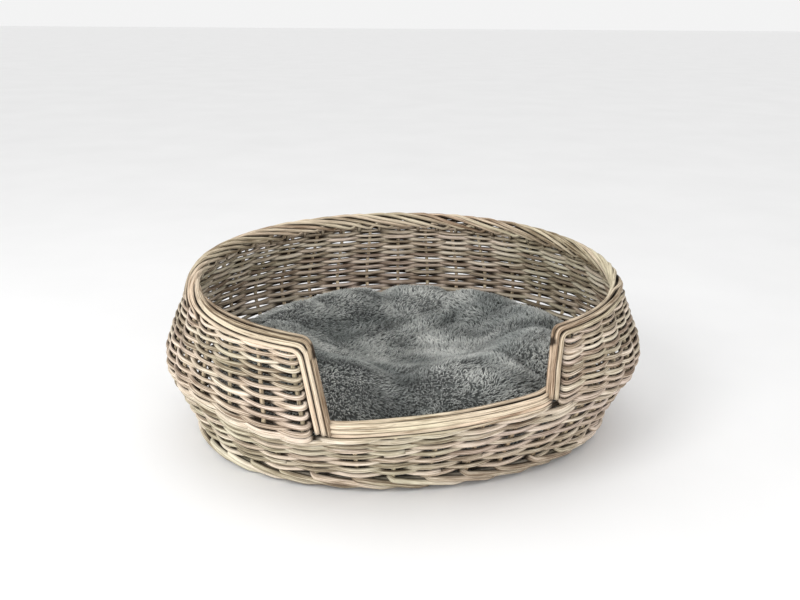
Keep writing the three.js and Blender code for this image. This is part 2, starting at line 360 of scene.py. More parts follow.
class Nodes:
    """Short calls for building a material's nodes."""

    def __init__(self, name):
        self.material = bpy.data.materials.new(name)
        self.material.use_nodes = True
        self.tree = self.material.node_tree
        self.shader = self.tree.nodes["Principled BSDF"]

    def node(self, kind, **settings):
        node = self.tree.nodes.new(kind)
        for key, value in settings.items():
            setattr(node, key, value)
        return node

    def link(self, source, target):
        self.tree.links.new(source, target)

    def attribute(self, name):
        return self.node("ShaderNodeAttribute", attribute_name=name)

    def noise(self, vector, scale, detail=3.0, roughness=0.55):
        noise = self.node("ShaderNodeTexNoise")
        noise.inputs["Scale"].default_value = scale
        noise.inputs["Detail"].default_value = detail
        noise.inputs["Roughness"].default_value = roughness
        self.link(vector, noise.inputs["Vector"])
        return noise.outputs["Fac"]

    def stretched(self, vector, scale):
        mapping = self.node("ShaderNodeMapping")
        mapping.inputs["Scale"].default_value = scale
        self.link(vector, mapping.inputs["Vector"])
        return mapping.outputs["Vector"]

    def ramp(self, value, stops):
        ramp = self.node("ShaderNodeValToRGB")
        elements = ramp.color_ramp.elements
        while len(elements) < len(stops):
            elements.new(0.5)
        for element, (position, colour) in zip(elements, stops):
            element.position = position
            element.color = (*colour, 1)
        self.link(value, ramp.inputs["Fac"])
        return ramp.outputs["Color"]

    def mix(self, factor, a, b, blend="MIX"):
        mix = self.node("ShaderNodeMix", data_type="RGBA", blend_type=blend)
        for value, socket in ((factor, mix.inputs[0]), (a, mix.inputs[6]), (b, mix.inputs[7])):
            if isinstance(value, bpy.types.NodeSocket):
                self.link(value, socket)
            else:
                socket.default_value = value if isinstance(value, float) else (*value, 1)
        return mix.outputs[2]

    def math(self, operation, a, b=0.0, c=0.0):
        node = self.node("ShaderNodeMath", operation=operation)
        for value, socket in zip((a, b, c), node.inputs):
            if isinstance(value, bpy.types.NodeSocket):
                self.link(value, socket)
            else:
                socket.default_value = value
        return node.outputs[0]

    def span(self, value, low, high):
        """Maps low..high to 0..1."""
        node = self.node("ShaderNodeMapRange")
        node.inputs["From Min"].default_value = low
        node.inputs["From Max"].default_value = high
        self.link(value, node.inputs["Value"])
        return node.outputs[0]

    def bump(self, height, strength, distance):
        bump = self.node("ShaderNodeBump")
        bump.inputs["Strength"].default_value = strength
        bump.inputs["Distance"].default_value = distance
        self.link(height, bump.inputs["Height"])
        self.link(bump.outputs["Normal"], self.shader.inputs["Normal"])


STAIN = (0.10, 0.07, 0.045)
# Dark brown mixed in where the tone's alpha is low: painted shade in the gaps and behind rods, and the
# darkening at cut ends and the pith.
SHADE_AND_END_DARK = (0.02, 0.011, 0.005)


def willow(name, darks, mids, lights, patches):
    """Peeled willow: a tone for each rod, fine grain along it, bark stains and patches of tint."""
    m = Nodes(name)
    tone = m.attribute("tone")
    split = m.node("ShaderNodeSeparateColor")
    m.link(tone.outputs["Color"], split.inputs["Color"])
    grain = m.attribute("grain").outputs["Vector"]
    place = m.node("ShaderNodeTexCoord").outputs["Object"]
    streaks = m.noise(m.stretched(grain, (26, 1100, 1100)), 1.0, 5.0, 0.65)
    blotches = m.noise(m.stretched(grain, (22, 120, 120)), 1.0, 3.0, 0.6)
    value = m.math("MULTIPLY_ADD", streaks, 2.4, m.math("MULTIPLY_ADD", split.outputs[0], 0.4, -0.88))
    value = m.math("ADD", value, m.math("MULTIPLY_ADD", blotches, 0.5, -0.25))
    wood = m.ramp(value, ((0.2, darks), (0.5, mids), (0.82, lights)))
    hue = m.math("ADD", m.noise(place, 5.0, 2.0), m.math("MULTIPLY_ADD", split.outputs[1], 0.3, -0.15))
    colour = m.mix(1.0, wood, m.ramp(hue, patches), "MULTIPLY")
    stains = m.span(m.noise(m.stretched(grain, (45, 260, 260)), 1.0, 5.0, 0.7), 0.62, 0.74)
    colour = m.mix(m.math("MULTIPLY", stains, 0.45), colour, STAIN)
    # Painted shade: the colour goes towards the dark brown as the tone's alpha falls.
    colour = m.mix(m.math("SUBTRACT", 1.0, tone.outputs["Alpha"]), colour, SHADE_AND_END_DARK)
    m.link(colour, m.shader.inputs["Base Color"])
    m.link(m.math("MULTIPLY_ADD", streaks, 0.3, 0.48), m.shader.inputs["Roughness"])
    m.shader.inputs["Specular IOR Level"].default_value = 0.2
    m.bump(m.math("ADD", streaks, m.math("MULTIPLY", blotches, 0.8)), 0.55, 0.0009)
    return m.material


# Greenish, plain and pinkish patches, then each willow's darks, mids and lights.
WASH_TINTS = (
    (0.3, (0.86, 0.88, 0.77)), (0.48, (0.98, 0.96, 0.89)),
    (0.6, (1.0, 0.94, 0.88)), (0.75, (0.93, 0.86, 0.85)),
)
WARM_TINTS = ((0.3, (0.92, 0.95, 0.82)), (0.55, (1.0, 0.97, 0.88)), (0.75, (0.98, 0.88, 0.78)))
WEAVE_TONES = ((0.17, 0.12, 0.085), (0.54, 0.46, 0.365), (0.88, 0.80, 0.71))
BORDER_TONES = ((0.16, 0.105, 0.065), (0.49, 0.40, 0.315), (0.80, 0.70, 0.59))
STAKE_TONES = ((0.17, 0.12, 0.08), (0.50, 0.42, 0.31), (0.78, 0.68, 0.53))

weave_willow = willow("weave_willow", *WEAVE_TONES, WASH_TINTS)
border_willow = willow("border_willow", *BORDER_TONES, WARM_TINTS)
stake_willow = willow("stake_willow", *STAKE_TONES, WARM_TINTS)

# Stakes ------------------------------------------------------------------------------------------

STAKE_FOOT = 0.03
STAKE_TOP = 0.93
SILL_STAKE_TOP = 0.53
STAKE_SHOWN = STAKE_D - 1.0        # the weavers press into the stakes
STAKE_POINTS = 40


def make_stakes():
    for i in range(STAKES):
        back = i < BACK_STAKES
        u = i if back else STAKES - 1 - (i - BACK_STAKES)
        level = np.linspace(STAKE_FOOT, STAKE_TOP if back else SILL_STAKE_TOP, STAKE_POINTS)
        points = wall(stake_angle(u, level), level, WALL / 2 + 0.5 * smooth_noise(level * 9))
        rod = Rods()
        radius = STAKE_SHOWN / 2 * np.linspace(1.1, 0.95, STAKE_POINTS)
        rod.add(sill_warp(points, level), radius, sides=14)
        name = f"stake_{i + 1:02d}"
        rod.build(f"{name}_rod", "basket", stake_willow, name)


make_stakes()

# Weaving -----------------------------------------------------------------------------------------

WEAVE_FOOT = 0.101                 # height fraction of the first row
FULL_ROWS = 13                     # rounds below the entrance
UPPER_ROWS = 24                    # rows back and forth between the posts
BAY_STEPS = 12
TURN_STEPS = 9
TURN_REACH = 0.15                  # bays that a turn goes past the end stake
WEAVE_MID = WALL / 2 - 1.2
ROD_BAYS = (16, 27)                # bays that one weaver covers before the next is joined in
OVERLAP = 0.3                      # bays that two joined weavers lie side by side
JOIN_BAYS = 0.8                    # bays over which a weaver's end moves up or down beside the next
# By row: weavers get closer towards the top, and each stands a little taller than it is deep.
ROW_NUMBERS = (0, 8, 12, 36)
ROW_PITCH = (7.35, 7.15, 5.75, 3.5)
ROD_HEIGHT = (6.6, 6.8, 7.9, 5.9)
ROD_DEPTH = (5.5, 5.6, 6.2, 5.3)


def row_level(row):
    """Height fraction of a row of weaving."""
    rows = np.arange(FULL_ROWS + UPPER_ROWS + 1)
    steps = np.interp(rows[:-1] + 0.5, ROW_NUMBERS, ROW_PITCH) / HEIGHT
    return WEAVE_FOOT + np.interp(row, rows, np.concatenate([[0], np.cumsum(steps)]))


def split_rods(total, inside):
    """Stretches of bays, one for each weaver, joined where the rod is behind a stake."""
    at, cuts = 0.0, [0.0]
    while at < total - ROD_BAYS[1]:
        at = math.floor(at + rng.uniform(*ROD_BAYS))
        if (inside(at) < 0) == (rng.random() < 0.8):
            at += 1
        cuts.append(at)
    cuts.append(total)
    return zip(cuts[:-1], cuts[1:])


def weave_rod(rods, bay, u, row, outwards, first, last, total):
    """One weaver between two bays of a row line, with its ends laid beside its neighbours'."""
    keep = (bay >= first - OVERLAP * (first > 0)) & (bay <= last + OVERLAP * (last < total))
    bay, u, row, outwards = bay[keep], u[keep], row[keep], outwards[keep] * SWING
    level = row_level(row)
    size = rng.uniform(0.89, 1.1)
    height = size * np.interp(row.mean(), ROW_NUMBERS, ROD_HEIGHT)
    depth = size * np.interp(row.mean(), ROW_NUMBERS, ROD_DEPTH)
    lift = 0.5 * height / HEIGHT
    if first > 0:
        level -= lift * np.clip(1 - (bay - first + OVERLAP) / JOIN_BAYS, 0, 1) ** 2
    if last < total:
        level += lift * np.clip(1 - (last + OVERLAP - bay) / JOIN_BAYS, 0, 1) ** 2
    wobble = 0.6 * smooth_noise(bay / 2.3) + 0.7 * smooth_noise(bay / 0.9) + 0.35 * smooth_noise(bay / 0.4)
    inwards = WEAVE_MID - outwards + 0.6 * smooth_noise(bay / 1.1)
    points = sill_warp(wall(stake_angle(u, level), level, inwards), level)
    points[:, 2] += wobble
    share = (bay - bay[0]) / (bay[-1] - bay[0])
    radius = math.sqrt(height * depth) / 2 * (1.1 - 0.2 * share)
    rods.add(points, radius, tall=height / depth, lumps=0.07, clean=painted_light_on_both_sides(outwards))


def make_lower_weave():
    total = STAKES * FULL_ROWS
    bay = np.linspace(0, total, total * BAY_STEPS + 1)
    outwards = np.cos(math.pi * bay)
    rods = Rods()
    for first, last in split_rods(total, lambda k: math.cos(math.pi * k)):
        weave_rod(rods, bay, bay, bay / STAKES, outwards, first, last, total)
    rods.build("lower_weave_rods", "basket", weave_willow, "lower_weave")


def make_upper_weave():
    """Back and forth between the posts, turning round the end stakes."""
    bays = BACK_STAKES - 1
    bay, u, rows, outwards = [], [], [], []
    count = 0.0
    for row in range(FULL_ROWS, FULL_ROWS + UPPER_ROWS):
        across = np.linspace(0, bays, bays * BAY_STEPS + 1)
        across = across if row % 2 else across[::-1]
        bay.append(count + np.abs(across - across[0]))
        u.append(across)
        rows.append(np.full(len(across), row))
        outwards.append(np.cos(math.pi * (across + row)))
        count += bays
        if row < FULL_ROWS + UPPER_ROWS - 1:
            turn = np.linspace(0, math.pi, TURN_STEPS + 2)[1:-1]
            side = 1 if across[-1] else -1
            bay.append(count + turn / math.pi * OVERLAP)
            u.append(across[-1] + side * TURN_REACH * np.sin(turn))
            rows.append(row + (1 - np.cos(turn)) / 2)
            outwards.append(math.cos(math.pi * (across[-1] + row)) * np.cos(turn))
            count += OVERLAP
    bay, u, rows, outwards = map(np.concatenate, (bay, u, rows, outwards))
    rods = Rods()
    for first, last in split_rods(count, lambda k: np.interp(k, bay, outwards)):
        weave_rod(rods, bay, u, rows, outwards, first, last, count)
    rods.build("upper_weave_rods", "basket", weave_willow, "upper_weave")


make_lower_weave()
make_upper_weave()

# Borders -----------------------------------------------------------------------------------------

LANES = 7                          # rods side by side across the edge
LANES_A_BAY = 1.4                  # how fast the rods roll over the edge
LANE_DRIFT = 0.045                 # how far a rod strays from its lane, as a share across
BORDER_D = 6.5
BORDER_CORE = (9, 15)              # distance inwards and from the edge
# Where a border rod lies across the edge of the wall, from inside over the edge to outside:
# share across, distance inwards, distance from the edge.
EDGE_LANES = np.array([
    [0, 15.5, 24], [0.2, 15.2, 15], [0.39, 13, 7], [0.53, 8.5, 3.3],
    [0.65, 3.6, 6], [0.82, 2, 13], [1, 2.4, 21],
])
FLANK_BAYS = 3.5                   # beside the entrance the rods run straight, elsewhere they roll over
CORNER_RADIUS = 5
POST_SPREAD = 1.03                 # the posts' rods lie a little further apart than the rim's
POST_FAN = 0.25                    # the right post's rods spread a little upwards
POST_TUCK = (9, 19)                # how far a post's rods go down behind the sill
FOOT_OUT = (4.5, 32)               # a post's outer rods stand out at the foot: distance, up to this height


def lane(p):
    """Distance inwards and from the edge, for a share across the border."""
    share, inwards, drop = EDGE_LANES.T
    return np.interp(p, share, inwards), np.interp(p, share, drop)


def level_of(z, y):
    level = z / HEIGHT
    for _ in range(3):
        level = (z - RIM_TILT * y * level ** 2) / HEIGHT
    return level


def front_point(x, z, inwards):
    """Point of the front wall at x and z."""
    x, z, inwards = np.broadcast_arrays(np.asarray(x, float), np.asarray(z, float), inwards)
    y = np.full(x.shape, -float(FRONT_REACH))
    for _ in range(4):
        level = level_of(z, y)
        points = wall(front_angle(x, level, inwards), level, inwards)
        y = points[..., 1]
    return points


def sill_z(x):
    return SILL_Z + SILL_SLOPE * (x - ENTRANCE_X)


def rim_point(u, p):
    inwards, drop = lane(p)
    level = 1 - drop / HEIGHT
    return wall(stake_angle(u, 1.0), level, inwards)


def round_corner(before, after, radius):
    """Joins two lines of points that meet, with a curve of about the radius."""
    corner = after[0]
    before = before[np.linalg.norm(before - corner, axis=1) > radius]
    after = after[np.linalg.norm(after - corner, axis=1) > radius]
    t = np.linspace(0, 1, 9)[1:-1, None]
    bend = (1 - t) ** 2 * before[-1] + 2 * t * (1 - t) * corner + t ** 2 * after[0]
    return np.concatenate([before, bend, after])


def post_line(side, p, foot_drop):
    """A post's rod from its foot up to the rim's corner."""
    inwards, drop = lane(p)
    top_z = ENTRANCE_TOP_Z - drop
    x_foot = ENTRANCE_X + side * (ENTRANCE_SILL_HALF + drop)
    z = np.linspace(sill_z(x_foot) - foot_drop, top_z, 26)
    out, high = FOOT_OUT
    in_front = out * np.clip(1 - (z - z[0]) / high, 0, 1) * np.clip(p * 3 - 1, 0, 1)
    fan = 1 + POST_FAN * (z - z[0]) / (z[-1] - z[0]) if side > 0 else 1
    x = ENTRANCE_X + side * (entrance_half(z) + drop * fan * POST_SPREAD)
    return front_point(x, z, inwards - in_front)


def border_core():
    """The line in the middle of the border, along the right post, the rim and the left post."""
    inwards, drop = BORDER_CORE
    rim = wall(stake_angle(np.linspace(-0.6, BACK_STAKES - 0.4, 500), 1.0), 1 - drop / HEIGHT, inwards)
    sides = []
    for side in (1, -1):
        z = np.linspace(sill_z(ENTRANCE_X + side * ENTRANCE_SILL_HALF) - 20, ENTRANCE_TOP_Z - drop, 60)
        sides.append(front_point(ENTRANCE_X + side * (entrance_half(z) + drop), z, inwards))
    return np.concatenate([sides[0], rim, sides[1]])


def corner_u(side, p):
    """Stake number, as a fraction, where a lane meets the post's line."""
    inwards, drop = lane(p)
    corner = post_line(side, p, 0)[-1]
    u = np.linspace(-1.2, 1.2, 241) + (0 if side > 0 else BACK_STAKES - 1)
    away = np.linalg.norm((rim_point(u, p) - corner)[:, :2], axis=1)
    return u[np.argmin(away)]


def border_roll():
    """Stake numbers, and the lanes that the border has rolled over by each: none beside the entrance."""
    fine = np.linspace(-1.5, BACK_STAKES + 0.5, 800)
    near = np.minimum(fine, BACK_STAKES - 1 - fine)
    speed = LANES_A_BAY * np.clip((near - FLANK_BAYS + 1.5) / 2.5, 0, 1)
    rolled = np.concatenate([[0], np.cumsum((speed[1:] + speed[:-1]) / 2 * np.diff(fine))])
    return fine, rolled * (round(rolled[-1]) / rolled[-1])


def make_top_border():
    fine, rolled = border_roll()
    total = round(rolled[-1])
    border = Rods()
    # Painted shade where the border rods touch one another.
    clean = painted_light_away_from(border_core())
    for k in range(-LANES + 1, total):
        start = k + 0.5
        if start <= 0:
            u0 = corner_u(1, -start / LANES)
        else:
            u0 = np.interp(start, rolled, fine)
        through = start + LANES > total
        if through:
            u1 = corner_u(-1, (total - start) / LANES)
        else:
            u1 = np.interp(start + LANES, rolled, fine)
        u = np.arange(u0, u1, 0.06)
        free = np.clip(np.minimum(u, BACK_STAKES - 1 - u) / FLANK_BAYS, 0.15, 1)
        p = (np.interp(u, fine, rolled) - start) / LANES + LANE_DRIFT * free * smooth_noise(u / 1.3)
        points = rim_point(u, p)
        if start <= 0:
            points = round_corner(post_line(1, p[0], rng.uniform(*POST_TUCK)), points, CORNER_RADIUS)
        else:
            rise = np.array([0.88, 0.915, 0.945])
            points = np.concatenate([wall(stake_angle(u0 - 0.16, 0.9), rise, WALL / 2 + 3), points[4:]])
        if through:
            post = post_line(-1, p[-1], rng.uniform(*POST_TUCK))
            points = round_corner(points, post[::-1], CORNER_RADIUS)
        else:
            points = np.concatenate([points[:-4], rim_point(u1 + 0.1, 1.0)[None] + (0, 0, -5)])
        points = soften(resample(points, 3.5), 1)
        radius = BORDER_D / 2 * rng.uniform(0.92, 1.06) * np.linspace(1.03, 0.93, len(points))
        border.add(points, radius, sides=12, clean=clean)
    nodes = ["top_border", "left_post", "right_post"]
    border.build("border_rods", "basket", border_willow, nodes)


make_top_border()


SILL_LANES = (0.16, 0.4, 0.53, 0.66, 0.78, 0.89, 1.0)
SILL_POINTS = 70
SILL_PAST = 9                      # how far the sill's rods go in behind the posts


def sill_x(past, count):
    half = ENTRANCE_SILL_HALF + past
    return np.linspace(ENTRANCE_X - half, ENTRANCE_X + half, count)


def make_sill():
    rods = Rods()
    x = sill_x(12, 120)
    # Painted shade where the sill's rods touch one another.
    clean = painted_light_away_from(front_point(x, sill_z(x) - BORDER_CORE[1], BORDER_CORE[0]))
    for p in SILL_LANES:
        inwards, drop = lane(p)
        lean = rng.uniform(-3, 3)
        x = sill_x(SILL_PAST, SILL_POINTS)
        share = (x - x[0]) / (x[-1] - x[0])
        tuck = 6 * np.clip(np.abs(share - 0.5) * 2 - 0.9, 0, 1) / 0.1
        z = sill_z(x) - drop + lean * (share - 0.5) + 0.8 * smooth_noise(x / 60)
        points = front_point(x, z, inwards + tuck)
        radius = BORDER_D / 2 * rng.uniform(0.9, 1.08) * np.linspace(1.05, 0.92, SILL_POINTS)
        rods.add(soften(points, 2), radius, sides=14, clean=clean)
    rods.build("sill_rods", "basket", border_willow, "sill_border")


make_sill()

# The foot: each rod comes out from behind a stake and steps down under the basket.
FOOT_BAYS = 2.1
# Share along the rod, distance inwards, height.
FOOT_PATH = np.array([[0, 2.2, 21.5], [0.2, 0.6, 18.7], [0.5, 0.4, 14.5], [0.8, 2.4, 7.6], [1, 10, 4.2]])
FOOT_TURN = 0.16                   # bays over which a rod comes out
FOOT_ROD_D = 8.1
FOOT_POINTS = 70
RINGS = ((10, 6), (8.5, 12), (8, 18))    # rods laid round behind the foot: distance inwards, height
RING_RADIUS = 3.2
# Painted light of the rounds behind the foot, which are evenly darkened as painted shade.
RING_PAINTED_LIGHT = 0.4


def make_foot():
    rods = Rods()
    for i in range(STAKES):
        u = np.linspace(i - FOOT_TURN, i + FOOT_BAYS * rng.uniform(0.95, 1.05), FOOT_POINTS)
        p = np.clip((u - i) / FOOT_BAYS, 0, 1)
        behind = np.clip((i - u) / FOOT_TURN, 0, 1)
        inwards = np.interp(p, FOOT_PATH[:, 0], FOOT_PATH[:, 1]) + 10 * behind
        z = np.interp(p, FOOT_PATH[:, 0], FOOT_PATH[:, 2]) + 5 * behind
        z += 0.9 * smooth_noise(u) * np.clip(z / 12 - 0.3, 0, 1)
        points = wall(stake_angle(u, 0.0), z / HEIGHT, inwards)
        radius = FOOT_ROD_D / 2 * rng.uniform(0.9, 1.06) * np.linspace(1.06, 0.96, FOOT_POINTS)
        points[:, 2] = np.maximum(points[:, 2], radius * 1.06)
        # Painted shade on the faces turned inwards and where a foot rod lies behind a stake.
        rods.add(soften(points, 2), radius, sides=12, clean=painted_light_on_both_sides(5 - 9 * behind))
    for inwards, z in RINGS:
        u = np.linspace(0, STAKES, 400)
        points = wall(stake_angle(u, 0.0), z / HEIGHT, inwards + 0.5 * smooth_noise(u))
        rods.add(points, RING_RADIUS, sides=8, clean=lambda points, ring: np.full(ring.shape[:2], RING_PAINTED_LIGHT))
    rods.build("foot_rods", "basket", weave_willow, "foot_border")


make_foot()

# Base --------------------------------------------------------------------------------------------

BASE_MID = 11.5                    # height of the sticks' middle
BASE_HALF = (273.0, 194.0)
LONG_STICKS = (3, 17)              # count, and distance from one to the next
CROSS_STICKS = (7, 62)
LONG_STICK = (3.6, 0.72)           # radius, and how tall against how wide
CROSS_STICK_RADIUS = 6.0
STICK_POINTS = 30
STICK_INSET = 6
BASE_ROW = 6.6
BASE_FIRST = 26                    # half depth of the first round
BASE_SWING = 5.6
BASE_ROD_RADIUS = 2.9


def stick_places(count, pitch):
    return [(i - (count - 1) / 2) * pitch for i in range(count)]


def make_base_sticks():
    middle = np.full(STICK_POINTS, BASE_MID)
    radius, tall = LONG_STICK
    for i, y in enumerate(stick_places(*LONG_STICKS)):
        x = np.linspace(-1, 1, STICK_POINTS) * (BASE_HALF[0] - STICK_INSET)
        rod = Rods()
        rod.add(np.stack([x, np.full(STICK_POINTS, y), middle], -1), radius, sides=14, tall=tall)
        name = f"base_long_stick_{i + 1}"
        rod.build(f"{name}_rod", "basket", stake_willow, name)
    for i, x in enumerate(stick_places(*CROSS_STICKS)):
        half = BASE_HALF[1] * math.sqrt(1 - (x / BASE_HALF[0]) ** 2) - STICK_INSET
        y = np.linspace(-half, half, STICK_POINTS)
        rod = Rods()
        rod.add(np.stack([np.full(STICK_POINTS, x), y, middle], -1), CROSS_STICK_RADIUS, sides=14)
        name = f"base_cross_stick_{i + 1}"
        rod.build(f"{name}_rod", "basket", stake_willow, name)


def make_base_weave():
    """Oval rounds over and under the sticks, every second round the other way."""
    rods = Rods()
    rows = int((BASE_HALF[1] - BASE_FIRST) / BASE_ROW)
    spare = BASE_HALF[0] - BASE_HALF[1]
    for row in range(rows):
        b = BASE_FIRST + BASE_ROW * row
        a = b + spare
        turn = np.linspace(0, 2 * math.pi, 260)
        x, y = a * np.cos(turn), b * np.sin(turn)
        crossings = [0.0, math.pi]
        for place in stick_places(*CROSS_STICKS):
            if abs(place) < a:
                angle = math.acos(place / a)
                crossings += [angle, 2 * math.pi - angle]
        crossings = np.append(np.sort(crossings), 2 * math.pi)
        count = np.interp(turn, crossings, np.arange(len(crossings)))
        z = BASE_MID + BASE_SWING * np.cos(math.pi * (count + row))
        z[-1] = z[0]
        rods.add(np.stack([x, y, z], -1), BASE_ROD_RADIUS * rng.uniform(0.95, 1.08), sides=8)
    rods.build("base_weave_rods", "basket", weave_willow, "base_weave")


make_base_sticks()
make_base_weave()

# Cushion -----------------------------------------------------------------------------------------

# As in the CAD source: share of the half width, and height.
CUSHION_PROFILE = np.array([
    [0, 21.5], [0.86, 21.5], [0.97, 40], [1, 75], [0.98, 112], [0.9, 140], [0.76, 152], [0.6, 145],
    [0.42, 120], [0.2, 101], [0, 96],
])
CUSHION_HALF = (273, 237)          # half width and half depth
CUSHION_CLEARANCE = 7
CUSHION_FOOT = 21.2                # the cushion lies flat on the base
CUSHION_ROUND = 120                # points round the cover
PILE_LENGTH = 8.5
PRESSURE = 4.0
SWELL_FRAMES = 20
SWELL_LIMIT = 9.0                  # the furthest that a point moves when the cover swells
VOXEL = 6.0


def cushion_half(z):
    level = z / HEIGHT
    x = np.minimum(half_width(level), half_width(1))
    y = np.minimum(half_width(level) - FOOT_CUT * (1 - level), half_width(1)) - DEPTH_CUT
    return x - WALL - CUSHION_CLEARANCE, y - WALL - CUSHION_CLEARANCE


def smooth_line(points, steps):
    """Catmull-Rom curve through points."""
    padded = np.concatenate([points[:1], points, points[-1:]])
    out = []
    for a, b, c, d in zip(padded[:-3], padded[1:-2], padded[2:-1], padded[3:]):
        t = np.linspace(0, 1, steps, endpoint=False)[:, None]
        out.append(b + 0.5 * t * (c - a + t * (2 * a - 5 * b + 4 * c - d + t * (3 * (b - c) + d - a))))
    return np.concatenate([*out, points[-1:]])


def cushion_body():
    """The unstuffed cover: the CAD profile, drawn in by the pile and the swelling."""
    profile = smooth_line(CUSHION_PROFILE, 4)
    way = np.gradient(profile * (CUSHION_HALF[0], 1), axis=0)
    way /= np.linalg.norm(way, axis=1)[:, None]
    inset = PILE_LENGTH * 0.8 + SWELL_LIMIT * 0.5
    share = np.clip(profile[:, 0] - way[:, 1] * inset / CUSHION_HALF[0], 0, 1)
    z = profile[:, 1] + way[:, 0] * inset * np.where(profile[:, 1] < 30, 0.25, 1)
    turn = np.linspace(0, 2 * math.pi, CUSHION_ROUND, endpoint=False)
    half_x, half_y = cushion_half(z)
    x = share[:, None] * half_x[:, None] * power(np.cos(turn))
    y = share[:, None] * half_y[:, None] * power(np.sin(turn))
    points = np.stack([x, y, np.broadcast_to(z[:, None], x.shape)], -1)
    inner = points[1:-1].reshape(-1, 3)
    verts = np.concatenate([inner, [[0, 0, z[0]]], [[0, 0, z[-1]]]]) * MM
    rows = len(z) - 2
    index = np.arange(rows * CUSHION_ROUND).reshape(rows, CUSHION_ROUND)
    beside = np.roll(index, -1, 1)
    under, over = rows * CUSHION_ROUND, rows * CUSHION_ROUND + 1
    faces = np.stack([index[:-1], beside[:-1], beside[1:], index[1:]], -1).reshape(-1, 4).tolist()
    faces += [[a, under, b] for a, b in zip(index[0], beside[0])]
    faces += [[b, over, a] for a, b in zip(index[-1], beside[-1])]
    mesh = bpy.data.meshes.new("cushion")
    mesh.from_pydata(verts.tolist(), [], faces)
    obj = bpy.data.objects.new("cushion", mesh)
    bpy.context.scene.collection.objects.link(obj)
    return obj


def apply_modifier(obj, kind, **settings):
    modifier = obj.modifiers.new(kind.lower(), kind)
    for key, value in settings.items():
        setattr(modifier, key, value)
    bpy.context.view_layer.objects.active = obj
    bpy.ops.object.modifier_apply(modifier=modifier.name)


def points_of(obj):
    flat = np.empty(len(obj.data.vertices) * 3)
    obj.data.vertices.foreach_get("co", flat)
    return flat.reshape(-1, 3)


def set_points(obj, points):
    obj.data.vertices.foreach_set("co", points.ravel())
    obj.data.update()


def stuff(obj):
    """Swells the cover by cloth pressure, and keeps each point near its start."""
    cloth = obj.modifiers.new("cloth", "CLOTH")
    cloth.settings.use_pressure = True
    cloth.settings.uniform_pressure_force = PRESSURE
    cloth.settings.effector_weights.gravity = 0
    cloth.settings.shrink_min = -0.03
    start = points_of(obj)
    scene = bpy.context.scene
    for number in range(1, SWELL_FRAMES + 1):
        scene.frame_set(number)
    swollen = obj.evaluated_get(bpy.context.evaluated_depsgraph_get())
    flat = np.empty(len(start) * 3)
    swollen.data.vertices.foreach_get("co", flat)
    obj.modifiers.remove(cloth)
    move = flat.reshape(-1, 3) - start
    far = np.linalg.norm(move, axis=1)[:, None]
    swollen_points = start + move * np.minimum(1, SWELL_LIMIT * MM / np.maximum(far, 1e-9))
    swollen_points[:, 2] = np.maximum(swollen_points[:, 2], CUSHION_FOOT * MM)
    set_points(obj, swollen_points)
    scene.frame_set(1)


# Soft creases between the cushion's lobes: plan angle in degrees, width, depth.
CREASES = (
    (-52, 5, 13), (-14, 5, 9), (22, 5, 12), (58, 5, 8), (92, 5, 12), (128, 5, 9), (162, 5, 12), (-150, 5, 11),
)
CREASE_TWIST = 14                  # degrees that a crease turns between the middle and the edge
ENTRANCE_DIP = (-101, 13, 32)      # where the front is pressed down by paws
RING_CREASE = (0.43, 0.07, 8)      # round the sunken middle: share of the half width, width, depth


def dent_at(points):
    """How deep the creases are at some points."""
    half_x, half_y = CUSHION_HALF
    angle = np.degrees(np.arctan2(points[:, 1] / half_y, points[:, 0] / half_x))
    share = np.hypot(points[:, 0] / half_x, points[:, 1] / half_y)
    raised = np.clip((share - 0.35) / 0.3, 0, 1) * np.clip((points[:, 2] - 45) / 60, 0, 1)
    dent = np.zeros(len(points))
    for middle, width, depth in (*CREASES, ENTRANCE_DIP):
        away = (angle - middle - CREASE_TWIST * (share - 0.7) + 180) % 360 - 180
        dent += depth * np.exp(-(away / width) ** 2) * raised
    place, width, depth = RING_CREASE
    uneven = 0.6 + 0.4 * np.sin(np.radians(angle * 3 + 40))
    return dent + depth * uneven * np.exp(-((share - place) / width) ** 2) * (points[:, 2] > 60)


def lobes(obj):
    """Presses the creases in, and draws the sides in a little with them."""
    points = points_of(obj) / MM
    dent = dent_at(points)
    points[:, 2] -= dent
    points[:, :2] *= 1 - (dent * 0.35 / CUSHION_HALF[0])[:, None]
    set_points(obj, points * MM)


cushion = cushion_body()
apply_modifier(cushion, "REMESH", mode="VOXEL", voxel_size=VOXEL * MM, use_smooth_shade=True)
stuff(cushion)
lobes(cushion)
apply_modifier(cushion, "SUBSURF", levels=1)


def plush():
    m = Nodes("plush")
    tone = m.attribute("tone")
    split = m.node("ShaderNodeSeparateColor")
    m.link(tone.outputs["Color"], split.inputs["Color"])
    place = m.node("ShaderNodeTexCoord").outputs["Object"]
    # Painted shade in the pile: the fur darkens from the tips down to the roots, and where the tone's light
    # is low.
    height = m.math("MULTIPLY_ADD", split.outputs[1], 0.75, m.math("MULTIPLY", split.outputs[0], 0.35))
    fur = m.ramp(height, ((0.05, (0.02, 0.022, 0.022)), (0.42, (0.19, 0.202, 0.195)),
                          (0.75, (0.62, 0.635, 0.615)), (1.0, (0.92, 0.91, 0.87))))
    patches = m.ramp(m.noise(place, 9.0, 3.0), ((0.36, (0.42, 0.45, 0.44)), (0.6, (1.0, 1.0, 0.98))))
    m.link(m.mix(1.0, fur, patches, "MULTIPLY"), m.shader.inputs["Base Color"])
    m.shader.inputs["Roughness"].default_value = 0.8
    m.shader.inputs["Sheen Weight"].default_value = 0.35
    m.shader.inputs["Sheen Roughness"].default_value = 0.5
    m.bump(m.noise(m.stretched(place, (520, 520, 180)), 1.0, 3.0), 0.6, 0.002)
    return m.material


plush_material = plush()
# The cover's low height up a tuft gives it the painted shade of the roots.
COVER_TONE = (0.4, 0.2, 0, 1)      # the cover between the tufts: light, height up a tuft, unused, alpha


